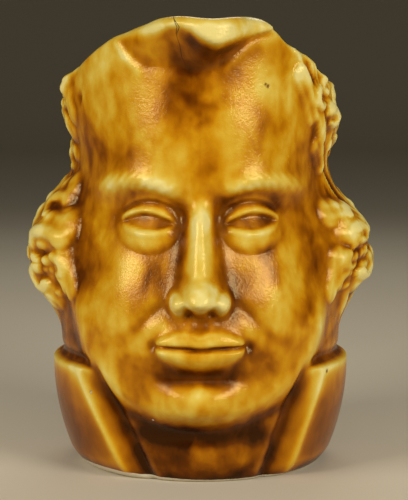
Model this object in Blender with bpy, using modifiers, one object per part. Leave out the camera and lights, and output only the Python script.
"""A face jug in amber-glazed earthenware: a hollow cast body with a spout, a head in relief and a handle."""

import math

import bmesh
import bpy
import numpy as np

# Vessel, in metres. The front is -Y and the handle is at +Y.
SIDE_RIM_HEIGHT = 0.137
SPOUT_RISE = 0.023
HANDLE_RIM_RISE = 0.005
WALL = 0.005
LEAST_WALL = 0.003
FLOOR = 0.007
FLOOR_FILLET = 0.014
FOOT_ROUNDING = 0.0012
SPOUT_REACH = 0.0145
SPOUT_HALF_WIDTH = 0.0290
SPOUT_KEEL = -0.0025
SPOUT_TIP = 0.0045
SPOUT_TUCK = 0.0004
SPOUT_STEEP = 2.2
SPOUT_STEEP_RIGHT = 1.3
SPOUT_LAG = 0.0036
SPOUT_SHALLOW = 0.0080
SPOUT_DEEP = 0.0130

# Spout: place across, then how far its crease and the lower edge of its lip lie below the top.
SPOUT_EDGES = (
    (-0.0340, 0.0006, 0.0003),
    (-0.0300, 0.0060, 0.0034),
    (-0.0264, 0.0106, 0.0050),
    (-0.0225, 0.0150, 0.0057),
    (-0.0195, 0.0165, 0.0060),
    (-0.0140, 0.0168, 0.0056),
    (-0.0075, 0.0171, 0.0037),
    (-0.0025, 0.0190, 0.0050),
    (0.0005, 0.0188, 0.0072),
    (0.0045, 0.0176, 0.0090),
    (0.0085, 0.0150, 0.0078),
    (0.0130, 0.0112, 0.0060),
    (0.0170, 0.0078, 0.0050),
    (0.0230, 0.0060, 0.0038),
    (0.0290, 0.0030, 0.0016),
    (0.0340, 0.0006, 0.0003),
)

# Rim: degrees from the front, then the share of the spout's rise on the left and on the right.
RIM_SHARES = (
    (0, 1.00, 1.00),
    (9, 1.00, 1.00),
    (15, 0.965, 0.995),
    (21, 0.89, 0.985),
    (27, 0.83, 0.93),
    (33, 0.765, 0.79),
    (39, 0.705, 0.62),
    (49, 0.555, 0.46),
    (59, 0.405, 0.295),
    (71, 0.23, 0.09),
    (84, 0.07, 0.00),
    (100, 0.00, 0.00),
    (180, 0.00, 0.00),
)

# Girth of the plain vessel: height, then the share of its half width and of its half depths in front and behind.
HALF_WIDTH = 0.0502
FRONT_HALF_DEPTH = 0.0500
BACK_HALF_DEPTH = 0.0515
GIRTHS = (
    (0.000, 0.8386, 0.8600, 0.8252),
    (0.005, 0.8805, 0.8960, 0.8641),
    (0.013, 0.9363, 0.9360, 0.9165),
    (0.026, 0.9900, 0.9640, 0.9417),
    (0.046, 1.0000, 0.9860, 0.9029),
    (0.056, 0.9900, 0.9940, 0.9126),
    (0.070, 0.9323, 1.0000, 0.9359),
    (0.092, 0.8964, 0.9840, 0.9806),
    (0.110, 0.8606, 0.9920, 1.0000),
    (0.128, 0.8725, 0.9960, 0.9806),
    (0.140, 0.8944, 0.9880, 0.9612),
    (0.160, 0.9084, 0.9720, 0.9515),
)

# Head: the height of the chin, and a third of the face: chin to nose, nose to brow or brow to hairline.
CHIN_HEIGHT = 0.024
THIRD = 0.038

# Collar: a standing collar with a bevelled front edge on each side of the chin.
COLLAR_TOP = 0.0395
COLLAR_THICKNESS = 0.0030
COLLAR_BEVEL = 0.0060
COLLAR_TOP_HALF_GAP = 0.0352
COLLAR_TOE_LEFT = 0.0175
COLLAR_TOE_RIGHT = 0.0225

# Hair.
TEMPLE_TUFT = 0.0030
SIDE_PUFF = 0.0114
PUFF_HEIGHT = 0.0775
BACK_HAIR = 0.0038
CURL_GIRTH = 0.055
LOCK_PITCH = 0.0135
LOCK_DEPTH = 0.0011
CURL_SWELL = 0.50

# Hairline: height, then degrees from the front on the left and on the right.
HAIRLINE = (
    (0.052, 76, 76),
    (0.070, 73, 71),
    (0.092, 75, 70),
    (0.108, 83, 69),
    (0.130, 80, 52),
    (0.150, 62, 40),
)

# Curls over the ears: side of the head (-1 or 1), start and end as (degrees from the front, height above
# the middle of the puff), half width.
PUFF_CURLS = (
    (-1, (76, 0.0210), (94, 0.0110), 0.0070),
    (-1, (70, 0.0075), (93, 0.0027), 0.0084),
    (-1, (94, 0.0010), (86, -0.0070), 0.0074),
    (-1, (68, -0.0005), (62, -0.0120), 0.0054),
    (-1, (88, -0.0105), (75, -0.0165), 0.0060),
    (-1, (104, 0.0185), (118, 0.0085), 0.0078),
    (-1, (106, 0.0025), (124, -0.0035), 0.0080),
    (-1, (106, -0.0120), (120, -0.0165), 0.0060),
    (1, (68, 0.0135), (86, 0.0083), 0.0056),
    (1, (76, 0.0070), (94, 0.0040), 0.0072),
    (1, (98, -0.0035), (84, -0.0100), 0.0072),
    (1, (68, -0.0030), (64, -0.0130), 0.0056),
    (1, (109, 0.0145), (123, 0.0065), 0.0072),
    (1, (110, 0.0025), (126, -0.0055), 0.0080),
    (1, (106, -0.0135), (120, -0.0170), 0.0058),
)

# Curls at the temples and above: the same, with heights above the table.
TEMPLE_CURLS = (
    (-1, (79, 0.1375), (75, 0.1260), 0.0048),
    (-1, (90, 0.1268), (82, 0.1195), 0.0044),
    (-1, (104, 0.1350), (118, 0.1220), 0.0066),
    (-1, (107, 0.1105), (121, 0.1025), 0.0062),
    (1, (46, 0.1400), (56, 0.1260), 0.0042),
    (1, (56, 0.1340), (65, 0.1180), 0.0042),
    (1, (72, 0.1270), (90, 0.1180), 0.0056),
    (1, (62, 0.1150), (70, 0.1080), 0.0038),
    (1, (106, 0.1310), (120, 0.1200), 0.0066),
    (1, (118, 0.1120), (131, 0.1040), 0.0062),
)

# Handle.
HANDLE_THICKNESS = 0.0095
HANDLE_WIDTH = 0.0145
HANDLE_TOP = 0.122
HANDLE_FOOT = 0.055
HANDLE_REACH = 0.030
HANDLE_ROOT_FLARE = 1.35

# Mesh.
COLUMNS = 240
OUTER_ROWS = 130
INNER_ROWS = 26
FRONT_CROWDING = 0.42
SOLID_TRIANGLES = 9200


def rise(low, high, x):
    """Smooth step from 0 at low to 1 at high."""
    share = np.clip((x - low) / (high - low), 0.0, 1.0)
    return share * share * (3.0 - 2.0 * share)


def hump(x, centre, spread):
    """Bell of height 1 at the centre."""
    return np.exp(-(((x - centre) / spread) ** 2))


def smooth_through(heights, values, z):
    """Cubic curve through (height, value) points, with the slope of its neighbours at each point."""
    heights, values = np.asarray(heights), np.asarray(values)
    slopes = np.gradient(values, heights)
    z = np.clip(z, heights[0], heights[-1])
    i = np.clip(np.searchsorted(heights, z, side="right") - 1, 0, len(heights) - 2)
    span = heights[i + 1] - heights[i]
    t = (z - heights[i]) / span
    return (
        values[i] * (1 + 2 * t) * (1 - t) ** 2
        + values[i + 1] * t * t * (3 - 2 * t)
        + span * slopes[i] * t * (1 - t) ** 2
        - span * slopes[i + 1] * t * t * (1 - t)
    )


def half_width(z):
    """Half width of the plain vessel at height z."""
    return HALF_WIDTH * smooth_through([g[0] for g in GIRTHS], [g[1] for g in GIRTHS], z)


def plain_radius(angle, z):
    """Radius of the plain oval vessel; the angle is 0 in front and positive towards +X."""
    front = FRONT_HALF_DEPTH * smooth_through([g[0] for g in GIRTHS], [g[2] for g in GIRTHS], z)
    back = BACK_HALF_DEPTH * smooth_through([g[0] for g in GIRTHS], [g[3] for g in GIRTHS], z)
    depth = np.where(np.cos(angle) > 0, front, back)
    return 1.0 / np.sqrt((np.sin(angle) / half_width(z)) ** 2 + (np.cos(angle) / depth) ** 2)


def rim_height(angle):
    """Height of the rim, as shares of the spout's rise above the low rim over the ears."""
    degrees = np.degrees(np.abs(angle))
    shares = np.where(
        angle < 0,
        smooth_through([s[0] for s in RIM_SHARES], [s[1] for s in RIM_SHARES], degrees),
        smooth_through([s[0] for s in RIM_SHARES], [s[2] for s in RIM_SHARES], degrees),
    )
    dip = 0.0007 * hump(angle, math.radians(4), math.radians(6))
    handle = HANDLE_RIM_RISE * rise(math.radians(105), math.radians(180), np.abs(angle))
    return SIDE_RIM_HEIGHT + SPOUT_RISE * shares - dip + handle


def spout_relief(angle, z):
    """The pouring beak: pointed in plan, hollow below its lip, drawn down to a crease on the forehead."""
    below = SIDE_RIM_HEIGHT + SPOUT_RISE - z
    x = plain_radius(angle, z) * np.sin(angle)
    crease = smooth_through([e[0] for e in SPOUT_EDGES], [e[1] for e in SPOUT_EDGES], x)
    lip = smooth_through([e[0] for e in SPOUT_EDGES], [e[2] for e in SPOUT_EDGES], x)
    climb = np.clip((crease - below) / (crease - lip), 0.0, 1.0)
    across = np.abs(x - SPOUT_KEEL - (SPOUT_TIP - SPOUT_KEEL) * climb) / SPOUT_HALF_WIDTH
    plan = np.clip(1.02 - np.sqrt(across ** 2 + 0.018), 0.0, None) ** 1.12 / 0.87
    flare = 0.84 * climb ** 1.45 + 0.16 * rise(0.0006, -0.0012, below - lip)
    tuck = SPOUT_TUCK * hump(below, crease - 0.0026, 0.0034) * rise(0.003, 0.009, crease)
    # The beak overhangs least on the right, where its underside is short.
    limit = (SPOUT_STEEP_RIGHT + (SPOUT_STEEP - SPOUT_STEEP_RIGHT) * rise(0.016, 0.006, x)) * (crease - lip)
    reach = SPOUT_REACH * flare * plan
    reach = reach / (1.0 + (reach / limit) ** 4) ** 0.25
    return np.where(np.cos(angle) > 0, reach - tuck, 0.0)


def spout_trough(angle, z):
    """The trough inside the beak: it follows the beak only where that is deep enough to keep its wall."""
    x = plain_radius(angle, z) * np.sin(angle)
    crease = smooth_through([e[0] for e in SPOUT_EDGES], [e[1] for e in SPOUT_EDGES], x)
    return spout_relief(angle, z - SPOUT_LAG) * rise(SPOUT_SHALLOW, SPOUT_DEEP, crease)


def eye_sockets(w, h):
    """The broad hollows of the eyes; w and h are counted in thirds of the face."""
    side = np.abs(w)
    broad = 0.120 * hump(side, 0.47, 0.32) * hump(h, 1.83, 0.20)
    inner = 0.070 * hump(side, 0.20, 0.10) * hump(h, 1.80, 0.14)
    return -(broad + inner)


def eyes(w, h):
    """Eyeballs, open lids with their crease, and the incised iris."""
    e = (np.abs(w) - 0.466) / 0.233
    f = (h - 1.75) / 0.233
    ball = 0.120 * np.clip(1.0 - (e / 1.36) ** 2 - (f / 1.18) ** 2, 0.0, 1.0) ** 1.2
    bow = np.clip(1.0 - e * e, 0.0, 1.0)
    upper = 0.36 * bow + 0.04 * e
    lower = -0.27 * bow + 0.04 * e
    opening = rise(-0.07, 0.07, upper - f) * rise(-0.07, 0.07, f - lower) * rise(0.0, 0.15, bow)
    upper_lid = 0.032 * hump(f, upper + 0.15, 0.13) * rise(0.0, 0.35, 1.15 - np.abs(e))
    lower_lid = 0.016 * hump(f, lower - 0.13, 0.13) * rise(0.0, 0.4, 1.05 - np.abs(e))
    crease = 0.024 * hump(f, upper + 0.46 - 0.08 * e, 0.11) * rise(0.0, 0.4, 1.18 - np.abs(e))
    ring = np.sqrt(e * e + (f - 0.04) ** 2)
    iris = 0.008 * hump(ring, 0.40, 0.07) + 0.014 * rise(0.20, 0.10, ring)
    return ball + upper_lid + lower_lid - crease - opening * (0.032 + iris)


def brows(w, h):
    """Brow ridges with slanted strokes for the hairs."""
    side = np.abs(w)
    line = 1.99 + 0.12 * hump(side, 0.58, 0.32)
    fade = rise(0.10, 0.32, side) * rise(1.02, 0.72, side)
    strokes = 1.0 + 0.09 * np.sin(62.0 * (side + 1.30 * (h - line)))
    hair = 0.046 * hump(h, line, 0.082) * fade * strokes
    bone = 0.050 * hump(h, line + 0.02, 0.20) * hump(side, 0.50, 0.50)
    return hair + bone


def nose(w, h):
    """Bridge, rounded tip, wings and nostrils, blended where they meet."""
    side = np.abs(w)
    descent = np.clip((1.92 - h) / 0.78, 0.0, 1.0)
    ends = rise(2.04, 1.76, h) * rise(0.960, 1.100, h)
    spread = 0.100 + 0.045 * rise(1.75, 1.25, h)
    bridge = (0.062 + 0.205 * descent ** 1.15) * ends * np.exp(-((side / spread) ** 2.2))
    tip = 0.285 * np.exp(-(((w / 0.162) ** 2 + ((h - 1.145) / 0.165) ** 2) ** 1.8))
    wing = 0.215 * np.exp(-((((side - 0.155) / 0.082) ** 2 + ((h - 1.080) / 0.112) ** 2) ** 1.5))
    flank = 0.060 * ends * np.exp(-((side / (0.16 + 0.14 * rise(1.8, 1.1, h))) ** 2.0))
    nostril = 0.050 * hump(side, 0.090, 0.042) * hump(h, 0.990, 0.036)
    return (bridge ** 5 + tip ** 5 + wing ** 5) ** 0.2 + flank - nostril


def mouth(w, h):
    """Closed calm lips over the muzzle, with the groove under the nose."""
    side = np.abs(w)
    line = 0.667 + 0.006 * (side / 0.36) ** 2 - 0.012 * hump(w, 0.0, 0.07)
    taper = np.clip(1.0 - (side / 0.375) ** 2, 0.0, 1.0)
    upper_height = 0.145 * taper ** 0.8 * (1.0 - 0.20 * hump(w, 0.0, 0.06))
    lower_height = 0.175 * taper ** 0.7
    up, down = h - line, line - h
    upper_lip = 0.058 * np.exp(-(((up - 0.42 * upper_height) / (0.58 * upper_height + 0.02)) ** 2))
    lower_lip = 0.072 * np.exp(-(((down - 0.48 * lower_height) / (0.56 * lower_height + 0.02)) ** 2))
    lips = np.where(up > 0, upper_lip, lower_lip) * rise(0.0, 0.30, taper)
    border = 0.010 * hump(up, upper_height, 0.018) * rise(0.0, 0.3, taper)
    parting = 0.060 * hump(h, line, 0.018) * rise(0.385, 0.32, side)
    corner = 0.030 * hump(side, 0.380, 0.050) * hump(h, 0.675, 0.050)
    muzzle = 0.085 * hump(w, 0.0, 0.42) * hump(h, 0.70, 0.33)
    groove = 0.016 * hump(w, 0.0, 0.050) * rise(0.80, 0.86, h) * rise(0.99, 0.91, h)
    banks = 0.010 * hump(side, 0.090, 0.036) * rise(0.80, 0.86, h) * rise(0.99, 0.91, h)
    return lips + border + muzzle + banks - parting - corner - groove


def cheeks_and_chin(w, h):
    """Cheekbones, the fold beside the nose, the chin and its groove, the jaw, and the forehead."""
    side = np.abs(w)
    cheek = 0.090 * hump(side, 0.66, 0.34) * hump(h, 1.22, 0.34)
    fold_at = 0.29 + 0.34 * rise(1.15, 0.60, h)
    fold = 0.016 * hump(side, fold_at, 0.075) * rise(0.60, 0.80, h) * rise(1.18, 1.00, h)
    chin = 0.135 * hump(w, 0.0, 0.33) * hump(h, 0.15, 0.20)
    groove = 0.060 * hump(w, 0.0, 0.30) * hump(h, 0.385, 0.085)
    forehead = 0.045 * hump(side, 0.40, 0.40) * hump(h, 2.46, 0.34)
    temple = 0.030 * hump(side, 1.02, 0.20) * hump(h, 2.05, 0.36)
    return cheek - fold + chin - groove + forehead - temple


def jaw(w, h):
    """The lower face stands proud of the neck inside a rounded outline."""
    below = np.clip(1.15 - h, 0.0, None) / 1.21
    outline = (np.abs(w) / 1.14) ** 2.3 + below ** 2.4
    proud = 0.115 * rise(1.20, 0.74, outline) * rise(1.35, 0.75, h)
    throat = 0.045 * hump(w, 0.0, 0.60) * hump(h, -0.19, 0.10)
    return proud - throat


def collar(angle, z):
    """The standing collar round the neck, its bevelled front edges and the hollow beside them."""
    x = plain_radius(angle, z) * np.sin(angle)
    toe = np.where(x > 0, COLLAR_TOE_RIGHT, COLLAR_TOE_LEFT)
    down = np.clip((COLLAR_TOP - z) / COLLAR_TOP, 0.0, 1.0)
    edge = COLLAR_TOP_HALF_GAP + (toe - COLLAR_TOP_HALF_GAP) * down ** 1.12
    behind = np.where(np.cos(angle) > 0, np.abs(x) - edge, COLLAR_BEVEL * 2)
    below_top = rise(-0.0002, 0.0016, COLLAR_TOP - z)
    panel = COLLAR_THICKNESS * np.clip(behind / COLLAR_BEVEL, 0.0, 1.0) * below_top * rise(-0.004, 0.006, z)
    hollow = 0.0012 * hump(behind, -0.0012, 0.0020) * rise(0.0, 0.006, COLLAR_TOP + 0.004 - z)
    fillet = 0.0008 * hump(z, COLLAR_TOP + 0.0018, 0.0016) * rise(0.0, 0.004, behind)
    return panel - hollow * rise(0.0, 0.3, np.cos(angle)) - fillet


def hairline(angle, z):
    """The angle from the front at which the hair begins, on the side that the given angle is on."""
    heights = [row[0] for row in HAIRLINE]
    left = np.interp(z, heights, [row[1] for row in HAIRLINE])
    right = np.interp(z, heights, [row[2] for row in HAIRLINE])
    return np.radians(np.where(angle < 0, left, right))


def hair_mass(angle, z):
    """The bulk of the hair: temple tufts, side puffs over the ears, and the close hair behind."""
    away = np.abs(angle)
    right = angle > 0
    tuft_height = np.where(right, 0.1215, 0.1290)
    tuft_spread = np.where(right, 0.0095, 0.0125)
    tuft = TEMPLE_TUFT * hump(away, math.radians(86), math.radians(25)) * hump(z, tuft_height, tuft_spread)
    puff_spread = np.where(right, 0.0184, 0.0198)
    reach = ((away - math.radians(93)) / math.radians(28)) ** 2 + ((z - PUFF_HEIGHT) / puff_spread) ** 2
    puff = SIDE_PUFF * np.exp(-(reach ** 1.5))
    behind = rise(math.radians(88), math.radians(118), away) * rise(0.042, 0.052, z)
    edge = 0.0012 * rise(-0.02, 0.06, away - hairline(angle, z)) * rise(0.050, 0.058, z)
    return tuft + puff + BACK_HAIR * behind + edge


def roll(angle, z, side, start, end, radius):
    """One rolled curl: a rounded ridge between two (degrees, height) points, with strands along it."""
    ax, az = math.radians(start[0]) * CURL_GIRTH, start[1]
    bx, bz = math.radians(end[0]) * CURL_GIRTH, end[1]
    px, pz = side * angle * CURL_GIRTH - ax, z - az
    dx, dz = bx - ax, bz - az
    length = math.hypot(dx, dz)
    along = (px * dx + pz * dz) / (length * length)
    bend = 0.22 * radius * np.sin(math.pi * np.clip(along, 0.0, 1.0))
    along = np.clip(along, 0.0, 1.0)
    offset = (px * dz - pz * dx) / length + bend
    beyond = np.hypot(px - along * dx, pz - along * dz) ** 2 - ((px * dz - pz * dx) / length) ** 2
    reach = np.sqrt(np.clip(beyond, 0.0, None) + offset ** 2) / radius
    dome = np.clip(1.0 - reach ** 2, 0.0, 1.0) ** 0.75 * (1.0 - 0.20 * along)
    strands = 0.06 * np.sin(6.5 * offset / radius + 2.0 * along) * rise(1.0, 0.5, reach)
    return np.where(side * angle > 0, radius * CURL_SWELL * (dome + strands), 0.0)


def curls(angle, z):
    """All rolled curls, melting softly into one another where they meet."""
    relief = np.zeros_like(angle)
    for rows, level in ((PUFF_CURLS, PUFF_HEIGHT), (TEMPLE_CURLS, 0.0)):
        for side, start, end, radius in rows:
            relief += np.clip(roll(angle, z - level, side, start, end, radius), 0.0, None) ** 5
    return relief ** 0.2


def locks(angle, z):
    """Broad wavy locks hanging behind."""
    away = np.abs(angle)
    behind = rise(math.radians(104), math.radians(128), away) * rise(0.043, 0.050, z)
    wave = away * CURL_GIRTH + 0.0024 * np.sin(z / 0.0075)
    return LOCK_DEPTH * np.sin(wave / (LOCK_PITCH / (2 * math.pi))) * behind


def outer_relief(angle, z):
    """All that stands out of, or is pressed into, the plain vessel on the outside."""
    w = plain_radius(angle, z) * np.sin(angle) / THIRD
    h = (z - CHIN_HEIGHT) / THIRD
    upper_face = eye_sockets(w, h) + eyes(w, h) + brows(w, h) + nose(w, h)
    lower_face = mouth(w, h) + cheeks_and_chin(w, h) + jaw(w, h)
    facing = rise(0.10, 0.45, np.cos(angle))
    hair = hair_mass(angle, z) + curls(angle, z) + locks(angle, z)
    return THIRD * (upper_face + lower_face) * facing + spout_relief(angle, z) + collar(angle, z) + hair


def inner_relief(angle, z):
    """What the inside follows of the outside."""
    w = plain_radius(angle, z) * np.sin(angle) / THIRD
    h = (z - CHIN_HEIGHT) / THIRD
    facing = rise(0.10, 0.45, np.cos(angle))
    face = eye_sockets(w, h) + 0.45 * nose(w, h)
    return THIRD * face * facing + spout_trough(angle, z) + 0.5 * hair_mass(angle, z)


def wall_section(rim):
    """The turned pot's section, from the middle of its underside over the rim to the middle of its floor."""
    points = [(r * float(half_width(0.0)), 0.0) for r in np.linspace(0.0, 0.94, 6)]
    base = float(half_width(0.0))
    points.append((base - FOOT_ROUNDING, 0.0))
    points.append((base - 0.3 * FOOT_ROUNDING, 0.3 * FOOT_ROUNDING))
    lip = WALL / 2
    for z in np.linspace(FOOT_ROUNDING, rim - lip, OUTER_ROWS):
        points.append((float(half_width(z)), float(z)))
    top = float(half_width(rim - lip))
    for turn in np.linspace(0.0, math.pi, 8)[1:-1]:
        points.append((top - lip + lip * math.cos(turn), rim - lip + lip * math.sin(turn)))
    for z in np.linspace(rim - lip, FLOOR + FLOOR_FILLET, INNER_ROWS):
        points.append((float(half_width(z)) - WALL, float(z)))
    corner = float(half_width(FLOOR + FLOOR_FILLET)) - WALL
    for turn in np.linspace(0.0, math.pi / 2, 7)[1:]:
        inset = FLOOR_FILLET * (1.0 - math.cos(turn))
        points.append((corner - inset, FLOOR + FLOOR_FILLET * (1.0 - math.sin(turn))))
    for share in (0.7, 0.4, 0.0):
        points.append(((corner - FLOOR_FILLET) * share, FLOOR))
    return points


def turned_pot(rim):
    """The plain pot as a mesh: its section on a Screw modifier, applied."""
    section = wall_section(rim)
    # Run from the floor over the rim to the underside, so that the screwed faces point out.
    points = [(r, 0.0, z) for r, z in reversed(section)]
    mesh = bpy.data.meshes.new("pot_section")
    mesh.from_pydata(points, [(i, i + 1) for i in range(len(points) - 1)], [])
    pot = bpy.data.objects.new("pot_section", mesh)
    bpy.context.scene.collection.objects.link(pot)
    screw = pot.modifiers.new("turn", "SCREW")
    screw.steps = screw.render_steps = COLUMNS
    screw.use_merge_vertices = True
    screw.merge_threshold = 0.00001
    evaluated = pot.evaluated_get(bpy.context.evaluated_depsgraph_get())
    turned = bpy.data.meshes.new_from_object(evaluated)
    bpy.data.objects.remove(pot)
    return turned


def press_and_carve(mesh, rim):
    """Moves the turned pot's vertices to the oval, spouted and carved shape."""
    count = len(mesh.vertices)
    co = np.empty(count * 3)
    mesh.vertices.foreach_get("co", co)
    co = co.reshape(-1, 3)
    radius = np.hypot(co[:, 0], co[:, 1])
    turn = np.arctan2(co[:, 0], -co[:, 1])
    # Columns are drawn together at the face.
    angle = turn - FRONT_CROWDING * np.sin(turn)
    z = co[:, 2]
    girth = half_width(z)
    through = (girth - radius) / WALL
    height = z + (rim_height(angle) - rim) * rise(0.100, rim, z)
    outside = plain_radius(angle, height) + outer_relief(angle, height)
    inside = plain_radius(angle, height) + inner_relief(angle, height) - WALL
    inside = np.minimum(inside, outside - LEAST_WALL)
    under = z < FLOOR / 2
    across = np.clip(through, 0.0, 1.0)
    new_radius = np.where(
        under,
        outside * radius / girth,
        np.where(through < 1.0, outside * (1 - across) + inside * across, inside * radius / (girth - WALL)),
    )
    co[:, 0] = new_radius * np.sin(angle)
    co[:, 1] = -new_radius * np.cos(angle)
    co[:, 2] = height
    mesh.vertices.foreach_set("co", co.ravel())
    mesh.update()


def handle_mesh():
    """The handle: an oval strap pulled in one loop, its thickened roots bedded level in the wall."""
    back_top = float(plain_radius(np.array([math.pi]), np.array([HANDLE_TOP]))[0])
    back_foot = float(plain_radius(np.array([math.pi]), np.array([HANDLE_FOOT]))[0])
    span = HANDLE_TOP - HANDLE_FOOT
    outward = back_top + BACK_HAIR + HANDLE_REACH
    route = (
        (back_top, HANDLE_TOP, HANDLE_ROOT_FLARE),
        (back_top + 0.55 * HANDLE_REACH, HANDLE_TOP + 0.05 * span, 1.0),
        (outward, HANDLE_TOP - 0.24 * span, 1.0),
        (outward - 0.12 * HANDLE_REACH, HANDLE_TOP - 0.58 * span, 1.0),
        (back_foot + 0.55 * HANDLE_REACH, HANDLE_FOOT + 0.10 * span, 1.0),
        (back_foot, HANDLE_FOOT, HANDLE_ROOT_FLARE),
    )
    curve = bpy.data.curves.new("handle_route", "CURVE")
    curve.dimensions = "3D"
    curve.bevel_depth = HANDLE_THICKNESS / 2
    curve.bevel_resolution = 3
    curve.resolution_u = 5
    curve.use_fill_caps = True
    spline = curve.splines.new("BEZIER")
    spline.bezier_points.add(len(route) - 1)
    for point, (y, z, swell) in zip(spline.bezier_points, route):
        point.co = (0.0, y, z)
        point.radius = swell
        point.handle_left_type = "AUTO"
        point.handle_right_type = "AUTO"
    for point in (spline.bezier_points[0], spline.bezier_points[-1]):
        point.handle_left_type = "FREE"
        point.handle_right_type = "FREE"
        level = 0.25 * HANDLE_REACH
        point.handle_left = (0.0, point.co.y - level, point.co.z)
        point.handle_right = (0.0, point.co.y + level, point.co.z)
    spline.bezier_points[-1].handle_left, spline.bezier_points[-1].handle_right = (
        tuple(spline.bezier_points[-1].handle_right),
        tuple(spline.bezier_points[-1].handle_left),
    )
    strap = bpy.data.objects.new("handle_route", curve)
    bpy.context.scene.collection.objects.link(strap)
    evaluated = strap.evaluated_get(bpy.context.evaluated_depsgraph_get())
    mesh = bpy.data.meshes.new_from_object(evaluated)
    bpy.data.objects.remove(strap)
    shape = bmesh.new()
    shape.from_mesh(mesh)
    bmesh.ops.remove_doubles(shape, verts=shape.verts, dist=0.00001)
    bmesh.ops.scale(shape, vec=(HANDLE_WIDTH / HANDLE_THICKNESS, 1.0, 1.0), verts=shape.verts)
    shape.to_mesh(mesh)
    shape.free()
    return mesh


def glaze():
    """Amber glaze over a pale clay."""
    material = bpy.data.materials.new("amber_glaze")
    material.use_nodes = True
    shader = material.node_tree.nodes["Principled BSDF"]
    shader.inputs["Base Color"].default_value = (0.42, 0.19, 0.02, 1.0)
    shader.inputs["Roughness"].default_value = 0.12
    shader.inputs["Metallic"].default_value = 0.0
    return material


def clear_scene():
    """Removes every object of the scene."""
    for obj in list(bpy.data.objects):
        bpy.data.objects.remove(obj)


def thinned(mesh):
    """The mesh brought down to the solid's triangle count, with its underside pressed flat again."""
    body = bpy.data.objects.new("pot_fine", mesh)
    bpy.context.scene.collection.objects.link(body)
    thin = body.modifiers.new("thin_out", "DECIMATE")
    thin.ratio = SOLID_TRIANGLES / sum(len(face.vertices) - 2 for face in mesh.polygons)
    evaluated = body.evaluated_get(bpy.context.evaluated_depsgraph_get())
    result = bpy.data.meshes.new_from_object(evaluated)
    bpy.data.objects.remove(body)
    for vertex in result.vertices:
        if vertex.co.z < FOOT_ROUNDING / 4:
            vertex.co.z = 0.0
    return result


def main():
    """Builds the jug."""
    clear_scene()
    rim = SIDE_RIM_HEIGHT + SPOUT_RISE / 2
    body = turned_pot(rim)
    press_and_carve(body, rim)
    body = thinned(body)
    body.materials.append(glaze())
    jug = bpy.data.objects.new("jug", body)
    collection = bpy.data.collections.new("face_jug")
    bpy.context.scene.collection.children.link(collection)
    collection.objects.link(jug)
    cutters = bpy.data.collections.new("joined_shapes")
    bpy.context.scene.collection.children.link(cutters)
    strap = bpy.data.objects.new("handle_strap", handle_mesh())
    strap.hide_render = True
    strap.display_type = "WIRE"
    cutters.objects.link(strap)
    join = jug.modifiers.new("handle", "BOOLEAN")
    join.operation = "UNION"
    join.solver = "EXACT"
    join.object = strap
    body.shade_smooth()


if __name__ == "__main__":
    main()
